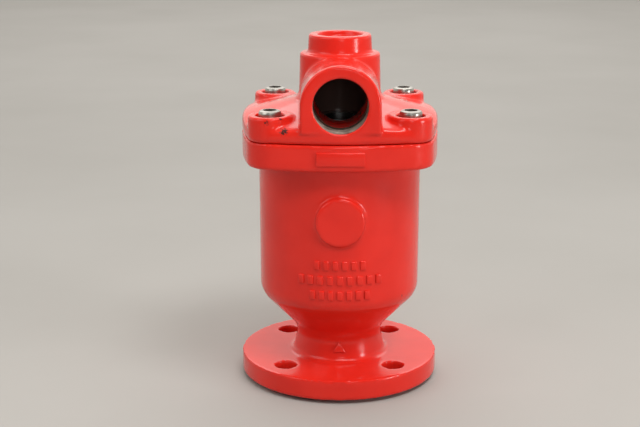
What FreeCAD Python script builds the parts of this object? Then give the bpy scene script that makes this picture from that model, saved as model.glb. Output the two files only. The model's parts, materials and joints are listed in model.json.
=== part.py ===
import FreeCAD
import Part
import math
import os
import re
import Sketcher
from FreeCAD import Placement, Rotation, Vector

# A float-operated air valve for a DN 50 pipe: a cast body on a flange, a cast cover with a
# threaded outlet, and inside it a disc, a lever and a float that hang in a cage.
# Millimetres, +Z up. The origin is the centre of the inlet flange's face. The outlet faces -Y.

SIZES = {
    # Inlet flange, DN 50 PN 16
    "flange_diameter": 165,
    "flange_thickness": 20,
    "flange_edge_fillet": 1.2,
    "flange_face_diameter": 99,
    "flange_face_height": 3,
    "flange_bolt_circle": 125,
    "flange_hole_diameter": 19,
    "flange_hole_count": 4,
    "inlet_diameter": 50,
    # Body casting
    "body_wall": 8,
    "neck_foot_radius": 40,
    "neck_radius": 34.2,
    "neck_top": 41.7,
    "chamber_radius": 66.5,
    "cone_top": 74.6,
    "seam": 212.3,
    "top_flange_thickness": 21.3,
    "top_flange_width": 160,
    "top_flange_bow": 240,
    "top_flange_corner": 25.4,
    "pad_radius": 19.2,
    "pad_face": 70,
    "pad_height": 148,
    "foot_fillet": 5,
    "neck_fillet": 13,
    "shoulder_fillet": 15.5,
    # Cover casting
    "crown_inner": 25.7,
    "crown_slope": 14.5,
    "boss_radius": 16.6,
    "boss_height": 19.7,
    "tower_radius": 33,
    "tower_height": 61.7,
    "tower_fillet": 2.5,
    "stub_radius": 25.6,
    "stub_height": 76.7,
    "stub_recess_radius": 16.5,
    "stub_recess_depth": 4,
    "stub_cavity_radius": 18,
    "port_height": 30.6,
    "port_radius": 31.5,
    "port_bore_radius": 22.4,
    "port_mouth_radius": 24,
    "port_mouth_depth": 1.6,
    "port_thread_length": 26,
    "port_inner_radius": 21,
    "cover_wall": 9,
    "cover_floor": 8.7,
    "spigot_length": 4.3,
    "spigot_clearance": 0.3,
    # Cover screws, M12
    "screw_spacing": 110.4,
    "screw_diameter": 12,
    "screw_length": 30,
    "screw_head_diameter": 18,
    "screw_socket": 10,
    "screw_socket_depth": 6,
    "screw_clearance": 1.5,
    "counterbore_clearance": 3,
    "counterbore_floor": 9.7,
    "washer_diameter": 20,
    "washer_thickness": 2,
    # Cover seal
    "seal_groove_inner": 61,
    "seal_groove_width": 4.8,
    "seal_groove_depth": 3.2,
    "seal_corner_share": 0.45,
    # Large orifice
    "orifice_radius": 15,
    "seat_thread_radius": 20,
    "seat_flange_radius": 26,
    "seat_flange_thickness": 4,
    "seat_lip_radius": 18,
    "seat_lip_height": 2,
    "seat_gasket_thickness": 1,
    # Cage
    "cage_circle_radius": 34,
    "cage_count": 3,
    "pillar_radius": 4,
    "stud_radius": 2.5,
    "stud_depth": 7,
    "stud_end": 1,
    "stop_ring_thickness": 4,
    "stop_ring_rim": 41,
    "cage_nut_width": 8,
    "cage_nut_height": 4,
    # Baffle
    "baffle_radius": 33,
    "baffle_thickness": 3,
    "baffle_height": 62,
    "baffle_screw_count": 3,
    "baffle_screw_circle": 28.5,
    "baffle_screw_radius": 2,
    "baffle_screw_head_radius": 3.4,
    "baffle_screw_length": 12,
    "baffle_lug_width": 9,
    "baffle_lug_offset": 1.2,
    # Disc
    "disc_radius": 27,
    "disc_thickness": 4,
    "disc_lift": 11.4,
    "disc_gap": 0.3,
    "seal_inner_radius": 12,
    "seal_outer_radius": 21,
    "seal_thickness": 3,
    "nozzle_offset": 8,
    "nozzle_radius": 3,
    "nozzle_bore_radius": 0.8,
    "nozzle_tip_drop": 3.6,
    "nozzle_tip_wall": 0.8,
    "ear_thickness": 3,
    "ear_width": 8,
    "ear_clearance": 1.1,
    # Lever and float
    "pivot_offset": 15.5,
    "pivot_drop": 8.3,
    "pin_radius": 2,
    "pin_clearance": 0.05,
    "pin_end": 0.6,
    "side_clearance": 0.4,
    "clip_radius": 3.6,
    "clip_thickness": 0.8,
    "lever_width": 8,
    "lever_nose_width": 4.4,
    "lever_waist_clearance": 1.2,
    "lever_thickness": 4,
    "lever_end_radius": 3.6,
    "nozzle_pad_radius": 2.2,
    "nozzle_pad_thickness": 1.4,
    "fork_cheek": 3,
    "fork_width": 9,
    "fork_slot_depth": 6,
    "fork_base": 4,
    "float_stud_radius": 4,
    "float_stud_length": 7,
    "float_radius": 46,
    "float_wall": 1.2,
    "float_boss_radius": 8,
    "float_boss_floor": 2,
    "float_nut_width": 13,
    "float_nut_height": 4,
}

doc = FreeCAD.newDocument("air_valve")
sheet = doc.addObject("Spreadsheet::Sheet", "Sizes")
for row, (alias, number) in enumerate(SIZES.items(), start=1):
    sheet.set(f"A{row}", alias)
    sheet.set(f"B{row}", str(number))
    sheet.setAlias(f"B{row}", alias)
doc.recompute()


# Heights that several pieces share, as expressions in the sheet's words.
BODY_FLANGE = "seam - top_flange_thickness"
CONE_ANGLE = "atan((chamber_radius - neck_radius) / (cone_top - neck_top))"
CONE_LIFT = f"body_wall * tan({CONE_ANGLE} / 2)"
BORE = "inlet_diameter / 2"
CHAMBER_BORE = "chamber_radius - body_wall"
CROWN = "seam + crown_inner"
CROWN_REACH = "top_flange_width / sqrt(2)"
PORT_AXIS = "seam + port_height"
PORT_FACE = "top_flange_width / 2"
CAVITY_FLOOR = "seam + cover_floor"
SPIGOT_END = "seam - spigot_length"
SPIGOT_RADIUS = f"{CHAMBER_BORE} - spigot_clearance"
TOWER_BORE = "tower_radius - cover_wall"
SCREW_PLACE = "screw_spacing / 2"
SCREW_HOLE = "(screw_diameter + screw_clearance) / 2"
COUNTERBORE = "(washer_diameter + counterbore_clearance) / 2"
WASHER_TOP = "seam + counterbore_floor + washer_thickness"
SEAT_TOP = f"{SPIGOT_END} - seat_gasket_thickness"
SEAT_FLANGE_END = f"{SEAT_TOP} - seat_flange_thickness"
SEAT_END = f"{SEAT_FLANGE_END} - seat_lip_height"
DISC_TOP = f"{SEAT_END} - disc_gap - disc_lift - seal_thickness"
DISC_END = f"{DISC_TOP} - disc_thickness"
STOP_TOP = f"{DISC_END} - disc_gap"
STOP_END = f"{STOP_TOP} - stop_ring_thickness"
PIVOT_HEIGHT = f"{DISC_END} - pivot_drop"
LEVER_TOP = f"{PIVOT_HEIGHT} + lever_thickness / 2"
EAR_INNER = "lever_width / 2 + side_clearance"
EAR_OUTER = f"{EAR_INNER} + ear_thickness"
EAR_REACH = f"sqrt((pivot_offset + ear_width / 2) ^ 2 + ({EAR_OUTER}) ^ 2)"
STOP_BORE = f"{EAR_REACH} + ear_clearance"
FORK_INNER = "lever_nose_width / 2 + side_clearance"
FORK_OUTER = f"{FORK_INNER} + fork_cheek"
FORK_SLOT_END = f"{PIVOT_HEIGHT} - fork_slot_depth"
FORK_END = f"{FORK_SLOT_END} - fork_base"
FLOAT_TOP = f"{FORK_END} - float_nut_height"
FLOAT_CENTRE = f"{FLOAT_TOP} - float_radius"


def bound(text):
    """The expression with the sheet's name put before each of its words."""
    return re.sub(r"[a-z_]+", lambda word: f"Sizes.{word[0]}" if word[0] in SIZES else word[0], text)


def size(text):
    """The expression's present value, in millimetres."""
    return float(getattr(sheet.evalExpression(bound(text)), "Value", sheet.evalExpression(bound(text))))


def bind(thing, **texts):
    for name, text in texts.items():
        thing.setExpression(name.replace("__", "."), bound(text))
    return thing


def place(thing, x="0", y="0", z="0", turn=None):
    """Put a piece at x, y, z; turn is its rotation."""
    if turn:
        thing.Placement = Placement(Vector(), turn)
    return bind(thing, Placement__Base__x=x, Placement__Base__y=y, Placement__Base__z=z)


TO_FRONT = Rotation(Vector(1, 0, 0), 90)


def cylinder(name, radius, height, x="0", y="0", z="0", turn=None):
    thing = doc.addObject("Part::Cylinder", name)
    return place(bind(thing, Radius=radius, Height=height), x, y, z, turn)


def block(name, x, y, z):
    """A box between the two ends given for each axis."""
    thing = bind(doc.addObject("Part::Box", name), Length=f"{x[1]} - ({x[0]})",
                 Width=f"{y[1]} - ({y[0]})", Height=f"{z[1]} - ({z[0]})")
    return place(thing, x[0], y[0], z[0])


def hexagon(name, width, height, x="0", y="0", z="0"):
    thing = doc.addObject("Part::Prism", name)
    thing.Polygon = 6
    return place(bind(thing, Circumradius=f"{width} / sqrt(3)", Height=height), x, y, z)


def join(name, *things):
    thing = doc.addObject("Part::MultiFuse", name)
    thing.Shapes = list(things)
    return thing


def common(name, *things):
    thing = doc.addObject("Part::MultiCommon", name)
    thing.Shapes = list(things)
    return thing


def cut(name, base, *tools):
    thing = doc.addObject("Part::Cut", name)
    thing.Base = base
    thing.Tool = tools[0] if len(tools) == 1 else join(f"{name}_tools", *tools)
    return thing


def group(name, *things):
    """Separate solids that share one node."""
    thing = doc.addObject("Part::Compound", name)
    thing.Links = list(things)
    return thing


def around(count, radius, first=90):
    """Expressions for the x and y of places evenly spaced on a circle."""
    for step in range(count):
        angle = first + step * 360 / count
        yield step, f"({radius}) * cos({angle})", f"({radius}) * sin({angle})"


def corners():
    """Expressions for the four cover screws' places."""
    signs = ((1, 1), (-1, 1), (-1, -1), (1, -1))
    for number, (right, back) in enumerate(signs):
        yield number, f"{right} * {SCREW_PLACE}", f"{back} * {SCREW_PLACE}"


def turned(name, outline, x="0"):
    """A piece turned about a vertical axis from its (radius, height) corners."""
    body = doc.addObject("PartDesign::Body", name)
    planes = {plane.Role: plane for plane in body.Origin.OriginFeatures}
    sketch = body.newObject("Sketcher::SketchObject", f"{name}_outline")
    sketch.AttachmentSupport = (planes["XZ_Plane"], [""])
    sketch.MapMode = "FlatFace"
    points = [Vector(size(radius), size(height)) for radius, height in outline]
    for start, end in zip(points, points[1:] + points[:1]):
        sketch.addGeometry(Part.LineSegment(start, end))
    for number, (radius, height) in enumerate(outline):
        sketch.addConstraint(Sketcher.Constraint("Coincident", number - 1 if number else len(outline) - 1,
                                                 2, number, 1))
        for letter, kind, text, axis in (("r", "DistanceX", radius, -2), ("z", "DistanceY", height, -1)):
            if text == "0":
                sketch.addConstraint(Sketcher.Constraint("PointOnObject", number, 1, axis))
                continue
            index = sketch.addConstraint(Sketcher.Constraint(kind, -1, 1, number, 1, size(text)))
            sketch.renameConstraint(index, f"{letter}{number}")
            sketch.setExpression(f"Constraints.{letter}{number}", bound(text))
    turning = body.newObject("PartDesign::Revolution", f"{name}_turning")
    turning.Profile = sketch
    turning.ReferenceAxis = (sketch, ["V_Axis"])
    turning.Angle = 360
    sketch.Visibility = False
    return place(body, x)


def rings(shape, *places):
    """Names of the circular edges about the Z axis at the given (radius, height) expressions."""
    wanted = [(size(radius), size(height)) for radius, height in places]
    names = []
    for number, edge in enumerate(shape.Edges, start=1):
        if not isinstance(edge.Curve, Part.Circle):
            continue
        found = (edge.Curve.Radius, edge.Curve.Center.z)
        if any(math.dist(found, place) < 0.01 for place in wanted):
            names.append(f"Edge{number}")
    return names


def rounded(body, radius, *places):
    """Round a turned body's rings at the given corners."""
    doc.recompute()
    base = body.Tip
    fillet = body.newObject("PartDesign::Fillet", f"{body.Name}_rounding")
    fillet.Base = (base, rings(base.Shape, *places))
    return bind(fillet, Radius=radius)


def outline_prism(name, start, end):
    """The shared outline of body flange and cover: a square with bowed sides and round corners."""
    reach = f"top_flange_bow - {PORT_FACE}"
    sides = []
    for number, (x, y) in enumerate((("1", "0"), ("-1", "0"), ("0", "1"), ("0", "-1"))):
        sides.append(cylinder(f"{name}_side_{number}", "top_flange_bow", f"{end} - ({start})",
                              f"{x} * ({reach})", f"{y} * ({reach})", start))
    square = common(f"{name}_square", *sides)
    doc.recompute()
    prism = doc.addObject("Part::Fillet", name)
    prism.Base = square
    upright = [number for number, edge in enumerate(square.Shape.Edges, start=1)
               if abs(edge.tangentAt(edge.FirstParameter).z) > 0.99]
    prism.Edges = [(number, size("top_flange_corner"), size("top_flange_corner")) for number in upright]
    return prism


def make_body():
    """Body casting, with its flange and tapped holes, its seal groove and its baffle lugs."""
    casting = turned("body_casting", [
        ("0", "0"), ("flange_face_diameter / 2", "0"),
        ("flange_face_diameter / 2", "flange_face_height"),
        ("flange_diameter / 2", "flange_face_height"), ("flange_diameter / 2", "flange_thickness"),
        ("neck_foot_radius", "flange_thickness"), ("neck_radius", "neck_top"),
        ("chamber_radius", "cone_top"), ("chamber_radius", "seam"), ("0", "seam")])
    rounded(casting, "foot_fillet", ("neck_foot_radius", "flange_thickness"))
    rounded(casting, "neck_fillet", ("neck_radius", "neck_top"))
    rounded(casting, "shoulder_fillet", ("chamber_radius", "cone_top"))
    rounded(casting, "flange_edge_fillet", ("flange_diameter / 2", "flange_face_height"),
            ("flange_diameter / 2", "flange_thickness"))
    pad = cylinder("body_pad", "pad_radius", "pad_face", z="pad_height", turn=TO_FRONT)
    solid = join("body_solid", casting, outline_prism("body_flange", BODY_FLANGE, "seam"), pad)
    cavity = turned("body_cavity", [
        ("0", "0"), (BORE, "0"), (BORE, f"neck_top + {CONE_LIFT}"),
        (CHAMBER_BORE, f"cone_top + {CONE_LIFT}"), (CHAMBER_BORE, "seam"), ("0", "seam")])
    groove = turned("body_groove", [
        ("seal_groove_inner", "seam - seal_groove_depth"),
        ("seal_groove_inner + seal_groove_width", "seam - seal_groove_depth"),
        ("seal_groove_inner + seal_groove_width", "seam"), ("seal_groove_inner", "seam")])
    holes = [cylinder(f"body_bolt_hole_{number}", "flange_hole_diameter / 2", "flange_thickness", x, y)
             for number, x, y in around(SIZES["flange_hole_count"], "flange_bolt_circle / 2", 45)]
    holes += [cylinder(f"body_tapped_hole_{number}", "screw_diameter / 2", "top_flange_thickness",
                       x, y, BODY_FLANGE) for number, x, y in corners()]
    hollow = cut("body_hollow", solid, cavity, groove, *holes)
    lugs = join("body_lugs", *[
        cylinder(f"body_lug_{number}", "baffle_lug_width / 2", "baffle_height - neck_top", x, y, "neck_top")
        for number, x, y in around(SIZES["baffle_screw_count"], "baffle_screw_circle + baffle_lug_offset")])
    lug_holes = [cylinder(f"body_lug_hole_{number}", "baffle_screw_radius", "baffle_screw_length",
                          x, y, "baffle_height + baffle_thickness - baffle_screw_length")
                 for number, x, y in around(SIZES["baffle_screw_count"], "baffle_screw_circle")]
    return cut("body", join("body_with_lugs", hollow, lugs), *lug_holes,
               cylinder("body_bore", BORE, "baffle_height"))


def make_cover():
    """Cover casting: a low crown with four screw bosses, a tower with a stub, and the outlet port."""
    crown = turned("cover_crown", [
        ("0", BODY_FLANGE), (CROWN_REACH, BODY_FLANGE),
        (CROWN_REACH, f"{CROWN} - ({CROWN_REACH} - tower_radius) * tan(crown_slope)"),
        ("tower_radius", CROWN), ("0", CROWN)])
    bosses = [cylinder(f"cover_boss_{number}", "boss_radius", "boss_height", x, y, "seam")
              for number, x, y in corners()]
    lower = common("cover_lower", outline_prism("cover_prism", "seam", CROWN),
                   join("cover_crown_and_bosses", crown, *bosses))
    tower = turned("cover_tower", [
        ("0", SPIGOT_END), (SPIGOT_RADIUS, SPIGOT_END), (SPIGOT_RADIUS, "seam"), ("tower_radius", "seam"),
        ("tower_radius", "seam + tower_height"), ("stub_radius", "seam + tower_height"),
        ("stub_radius", "seam + stub_height"), ("stub_recess_radius", "seam + stub_height"),
        ("stub_recess_radius", "seam + stub_height - stub_recess_depth"),
        ("0", "seam + stub_height - stub_recess_depth")])
    rounded(tower, "tower_fillet", ("stub_radius", "seam + stub_height"),
            ("tower_radius", "seam + tower_height"))
    port = cylinder("cover_port", "port_radius", PORT_FACE, z=PORT_AXIS, turn=TO_FRONT)
    port.Angle = 180
    port_foot = block("cover_port_foot", ("-port_radius", "port_radius"), (f"-{PORT_FACE}", "0"),
                      (CAVITY_FLOOR, PORT_AXIS))
    solid = join("cover_solid", lower, tower, port, port_foot)
    cavity = turned("cover_cavity", [
        ("0", CAVITY_FLOOR), (TOWER_BORE, CAVITY_FLOOR), (TOWER_BORE, "seam + tower_height - cover_wall"),
        ("stub_cavity_radius", "seam + tower_height"),
        ("stub_cavity_radius", "seam + stub_height - stub_recess_depth - cover_wall"),
        ("0", "seam + stub_height - stub_recess_depth - cover_wall")])
    seat_hole = cylinder("cover_seat_hole", "seat_thread_radius", f"{CAVITY_FLOOR} - ({SPIGOT_END})",
                         z=SPIGOT_END)
    port_bore = turned("cover_port_bore", [
        ("0", "0"), ("port_inner_radius", "0"), ("port_inner_radius", f"{PORT_FACE} - port_thread_length"),
        ("port_bore_radius", f"{PORT_FACE} - port_thread_length"),
        ("port_bore_radius", f"{PORT_FACE} - port_mouth_depth"),
        ("port_mouth_radius", PORT_FACE), ("0", PORT_FACE)])
    place(port_bore, z=PORT_AXIS, turn=TO_FRONT)
    screw_holes = [cylinder(f"cover_screw_hole_{number}", SCREW_HOLE, "boss_height", x, y, "seam")
                   for number, x, y in corners()]
    counterbores = [cylinder(f"cover_counterbore_{number}", COUNTERBORE, "crown_inner", x, y,
                             "seam + counterbore_floor")
                    for number, x, y in corners()]
    stud_holes = [cylinder(f"cover_stud_hole_{number}", "stud_radius", "stud_depth", x, y, SPIGOT_END)
                  for number, x, y in around(SIZES["cage_count"], "cage_circle_radius")]
    return cut("cover", solid, cavity, seat_hole, port_bore, *screw_holes, *counterbores, *stud_holes)


def make_cover_fastening():
    """Cover screws with their washers, and the seal in its groove."""
    screws = []
    washers = []
    for number, x, y in corners():
        head = cylinder(f"screw_head_{number}", "screw_head_diameter / 2", "screw_diameter", x, y, WASHER_TOP)
        shank = cylinder(f"screw_shank_{number}", "screw_diameter / 2", "screw_length", x, y,
                         f"{WASHER_TOP} - screw_length")
        socket = hexagon(f"screw_socket_{number}", "screw_socket", "screw_socket_depth", x, y,
                         f"{WASHER_TOP} + screw_diameter - screw_socket_depth")
        screws.append(cut(f"screw_{number}", join(f"screw_solid_{number}", head, shank), socket))
        disc = cylinder(f"washer_disc_{number}", "washer_diameter / 2", "washer_thickness", x, y,
                        f"{WASHER_TOP} - washer_thickness")
        hole = cylinder(f"washer_hole_{number}", SCREW_HOLE, "washer_thickness", x, y,
                        f"{WASHER_TOP} - washer_thickness")
        washers.append(cut(f"washer_{number}", disc, hole))
    ring = turned("cover_o_ring", [
        ("seal_groove_inner", "seam - seal_groove_depth"),
        ("seal_groove_inner + seal_groove_width", "seam - seal_groove_depth"),
        ("seal_groove_inner + seal_groove_width", "seam"), ("seal_groove_inner", "seam")])
    ring_corners = [(radius, height) for radius in ("seal_groove_inner",
                                                    "seal_groove_inner + seal_groove_width")
                    for height in ("seam", "seam - seal_groove_depth")]
    rounded(ring, "seal_groove_depth * seal_corner_share", *ring_corners)
    return [group("cover_screws", *screws), group("cover_washers", *washers), ring]


def make_seat():
    """Large orifice's ring and its gasket."""
    ring = turned("seat_ring", [
        ("orifice_radius", SEAT_END), ("seat_lip_radius", SEAT_END), ("seat_lip_radius", SEAT_FLANGE_END),
        ("seat_flange_radius", SEAT_FLANGE_END), ("seat_flange_radius", SEAT_TOP),
        ("seat_thread_radius", SEAT_TOP), ("seat_thread_radius", CAVITY_FLOOR),
        ("orifice_radius", CAVITY_FLOOR)])
    gasket = turned("seat_gasket", [
        ("seat_thread_radius", SEAT_TOP), ("seat_flange_radius", SEAT_TOP),
        ("seat_flange_radius", SPIGOT_END), ("seat_thread_radius", SPIGOT_END)])
    return [ring, gasket]


def make_cage():
    """Pillars, nuts and ring that hold the disc when it is open."""
    pillars = []
    nuts = []
    holes = []
    for number, x, y in around(SIZES["cage_count"], "cage_circle_radius"):
        pillar = cylinder(f"pillar_post_{number}", "pillar_radius", f"{SPIGOT_END} - ({STOP_TOP})",
                          x, y, STOP_TOP)
        stud_end = f"{STOP_END} - cage_nut_height - stud_end"
        stud = cylinder(f"pillar_stud_{number}", "stud_radius",
                        f"{SPIGOT_END} + stud_depth - ({stud_end})", x, y, stud_end)
        pillars.append(join(f"pillar_{number}", pillar, stud))
        nut = hexagon(f"cage_nut_hexagon_{number}", "cage_nut_width", "cage_nut_height", x, y,
                      f"{STOP_END} - cage_nut_height")
        nut_hole = cylinder(f"cage_nut_hole_{number}", "stud_radius", "cage_nut_height", x, y,
                            f"{STOP_END} - cage_nut_height")
        nuts.append(cut(f"cage_nut_{number}", nut, nut_hole))
        holes.append(cylinder(f"stop_ring_hole_{number}", "stud_radius", "stop_ring_thickness", x, y,
                              STOP_END))
    plate = cylinder("stop_ring_plate", "stop_ring_rim", "stop_ring_thickness", z=STOP_END)
    opening = cylinder("stop_ring_opening", STOP_BORE, "stop_ring_thickness", z=STOP_END)
    return [group("cage_pillars", *pillars), group("cage_nuts", *nuts),
            cut("disc_stop_ring", plate, opening, *holes)]


def make_baffle():
    """Plate over the inlet bore, on the body's lugs."""
    screws = []
    holes = []
    top = "baffle_height + baffle_thickness"
    for number, x, y in around(SIZES["baffle_screw_count"], "baffle_screw_circle"):
        head = cylinder(f"baffle_screw_head_{number}", "baffle_screw_head_radius", "baffle_screw_radius",
                        x, y, top)
        shank = cylinder(f"baffle_screw_shank_{number}", "baffle_screw_radius", "baffle_screw_length",
                         x, y, f"{top} - baffle_screw_length")
        screws.append(join(f"baffle_screw_{number}", head, shank))
        holes.append(cylinder(f"baffle_hole_{number}", "baffle_screw_radius", "baffle_thickness", x, y,
                              "baffle_height"))
    disc = cylinder("baffle_disc", "baffle_radius", "baffle_thickness", z="baffle_height")
    return [cut("baffle_plate", disc, *holes), group("baffle_screws", *screws)]


def clips(name, x, outer):
    """A pair of retaining clips on the ends of a pin."""
    pair = []
    for side, start in (("front", f"-({outer}) - clip_thickness"), ("back", outer)):
        disc = cylinder(f"{name}_{side}_disc", "clip_radius", "clip_thickness", x,
                        f"{start} + clip_thickness", PIVOT_HEIGHT, TO_FRONT)
        hole = cylinder(f"{name}_{side}_hole", "pin_radius", "clip_thickness", x,
                        f"{start} + clip_thickness", PIVOT_HEIGHT, TO_FRONT)
        pair.append(cut(f"{name}_{side}", disc, hole))
    return group(name, *pair)


def cross_pin(name, radius, reach, x):
    """A cylinder along Y through the pivot height."""
    return cylinder(name, radius, f"2 * ({reach})", x, reach, PIVOT_HEIGHT, TO_FRONT)


def make_disc():
    """Disc that closes the large orifice, with its seal, its small nozzle and the lever's pivot."""
    plate = cylinder("disc_plate", "disc_radius", "disc_thickness", z=DISC_END)
    pivot = "-pivot_offset"
    ears = []
    for name, low, high in (("disc_ear_front", f"-({EAR_OUTER})", f"-({EAR_INNER})"),
                            ("disc_ear_back", EAR_INNER, EAR_OUTER)):
        arm = block(f"{name}_arm", (f"{pivot} - ear_width / 2", f"{pivot} + ear_width / 2"), (low, high),
                    (PIVOT_HEIGHT, DISC_END))
        eye = cylinder(f"{name}_eye", "ear_width / 2", "ear_thickness", pivot, high, PIVOT_HEIGHT, TO_FRONT)
        ears += [arm, eye]
    holes = [cross_pin("disc_pin_hole", "pin_radius", EAR_OUTER, pivot),
             cylinder("disc_nozzle_hole", "nozzle_radius", "disc_thickness", "-nozzle_offset", z=DISC_END)]
    disc = cut("valve_disc", join("disc_solid", plate, *ears), *holes)
    seal = turned("disc_seal", [
        ("seal_inner_radius", DISC_TOP), ("seal_outer_radius", DISC_TOP),
        ("seal_outer_radius", f"{DISC_TOP} + seal_thickness"),
        ("seal_inner_radius", f"{DISC_TOP} + seal_thickness")])
    retainer = cut("seal_retainer",
                   cylinder("retainer_disc", "seal_inner_radius", "seal_thickness", z=DISC_TOP),
                   cylinder("retainer_hole", "nozzle_radius", "seal_thickness", "-nozzle_offset",
                            z=DISC_TOP))
    nozzle = turned("nozzle", [
        ("nozzle_bore_radius", f"{DISC_END} - nozzle_tip_drop"),
        ("nozzle_bore_radius + nozzle_tip_wall", f"{DISC_END} - nozzle_tip_drop"),
        ("nozzle_radius", f"{DISC_END} - nozzle_tip_drop / 2"),
        ("nozzle_radius", f"{DISC_TOP} + seal_thickness"),
        ("nozzle_bore_radius", f"{DISC_TOP} + seal_thickness")], "-nozzle_offset")
    reach = f"{EAR_OUTER} + clip_thickness + pin_end"
    return [disc, seal, retainer, nozzle, cross_pin("lever_pin", "pin_radius", reach, pivot),
            clips("lever_pin_clips", pivot, EAR_OUTER)]


def make_lever():
    """Lever with its soft pad, and the pin at its nose that the float hangs from."""
    pivot = "-pivot_offset"
    bottom = f"{PIVOT_HEIGHT} - lever_thickness / 2"
    waist = "-(fork_width / 2 + lever_waist_clearance)"
    wide = block("lever_wide", (pivot, waist), ("-lever_width / 2", "lever_width / 2"), (bottom, LEVER_TOP))
    nose = block("lever_nose", (waist, "0"), ("-lever_nose_width / 2", "lever_nose_width / 2"),
                 (bottom, LEVER_TOP))
    ends = [cylinder("lever_heel", "lever_end_radius", "lever_width", pivot, "lever_width / 2",
                     PIVOT_HEIGHT, TO_FRONT),
            cylinder("lever_tip", "lever_end_radius", "lever_nose_width", "0", "lever_nose_width / 2",
                     PIVOT_HEIGHT, TO_FRONT)]
    holes = [cross_pin("lever_pivot_hole", "pin_radius + pin_clearance", "lever_width / 2", pivot),
             cross_pin("lever_float_hole", "pin_radius", "lever_nose_width / 2", "0")]
    lever = cut("lever", join("lever_solid", wide, nose, *ends), *holes)
    pad = cylinder("nozzle_pad", "nozzle_pad_radius", "nozzle_pad_thickness", "-nozzle_offset", z=LEVER_TOP)
    reach = f"{FORK_OUTER} + side_clearance + clip_thickness + pin_end"
    return [lever, pad, cross_pin("float_pin", "pin_radius", reach, "0"),
            clips("float_pin_clips", "0", f"{FORK_OUTER} + side_clearance")]


def make_float():
    """Fork, nut and the two halves of the hollow float."""
    cheeks = []
    for name, low, high in (("fork_front", f"-({FORK_OUTER})", f"-({FORK_INNER})"),
                            ("fork_back", FORK_INNER, FORK_OUTER)):
        cheeks.append(block(f"{name}_cheek", ("-fork_width / 2", "fork_width / 2"), (low, high),
                            (FORK_SLOT_END, PIVOT_HEIGHT)))
        cheeks.append(cylinder(f"{name}_eye", "fork_width / 2", "fork_cheek", "0", high, PIVOT_HEIGHT,
                               TO_FRONT))
    base = block("fork_base", ("-fork_width / 2", "fork_width / 2"), (f"-({FORK_OUTER})", FORK_OUTER),
                 (FORK_END, FORK_SLOT_END))
    stud = cylinder("fork_stud", "float_stud_radius", "float_stud_length + float_nut_height",
                    z=f"{FLOAT_TOP} - float_stud_length")
    fork = cut("float_fork", join("fork_solid", *cheeks, base, stud),
               cross_pin("fork_pin_hole", "pin_radius + pin_clearance", FORK_OUTER, "0"))
    nut = cut("float_lock_nut",
              hexagon("float_nut_hexagon", "float_nut_width", "float_nut_height", z=FLOAT_TOP),
              cylinder("float_nut_hole", "float_stud_radius", "float_nut_height", z=FLOAT_TOP))
    shells = {}
    for half, low, high in (("upper", 0, 90), ("lower", -90, 0)):
        skins = []
        for skin, radius in (("outer", "float_radius"), ("inner", "float_radius - float_wall")):
            ball = bind(doc.addObject("Part::Sphere", f"float_{half}_{skin}"), Radius=radius)
            ball.Angle1 = low
            ball.Angle2 = high
            skins.append(place(ball, z=FLOAT_CENTRE))
        shells[half] = cut(f"float_shell_{half}" if half == "lower" else "float_upper_half", *skins)
    boss_depth = "float_stud_length + float_boss_floor"
    boss = cylinder("float_boss", "float_boss_radius", boss_depth, z=f"{FLOAT_TOP} - ({boss_depth})")
    socket = cylinder("float_socket", "float_stud_radius", "float_stud_length",
                      z=f"{FLOAT_TOP} - float_stud_length")
    upper = cut("float_shell_upper", join("float_upper_solid", shells["upper"], boss), socket)
    return [fork, nut, upper, shells["lower"]]


pieces = [make_body(), make_cover(), *make_cover_fastening(), *make_seat(), *make_cage(), *make_baffle(),
          *make_disc(), *make_lever(), *make_float()]
doc.recompute()

for thing in doc.Objects:
    if {"Invalid", "Error"} & set(thing.State):
        raise RuntimeError(f"{thing.Name} could not be built: {thing.State}")
for piece in pieces:
    if piece.Shape.isNull() or not piece.Shape.isValid():
        raise RuntimeError(f"{piece.Label} has no valid shape")

os.makedirs("parts", exist_ok=True)
for piece in pieces:
    piece.Shape.exportStep(f"parts/{piece.Label}.step")
    box = piece.Shape.BoundBox
    print(f"{piece.Label}: {len(piece.Shape.Solids)} solids, {piece.Shape.Volume / 1000:.1f} cm3, "
          f"z {box.ZMin:.1f} to {box.ZMax:.1f}")
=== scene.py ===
# %% [markdown]
# # A float-operated air valve in red epoxy paint
# The real valve is two iron castings under one thick coat of glossy paint, four steel screws,
# and a float with its linkage inside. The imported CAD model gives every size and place. This
# lesson makes the castings again with soft cast edges, makes the screws and the outlet's
# thread, and gives every other piece its finish.

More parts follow.
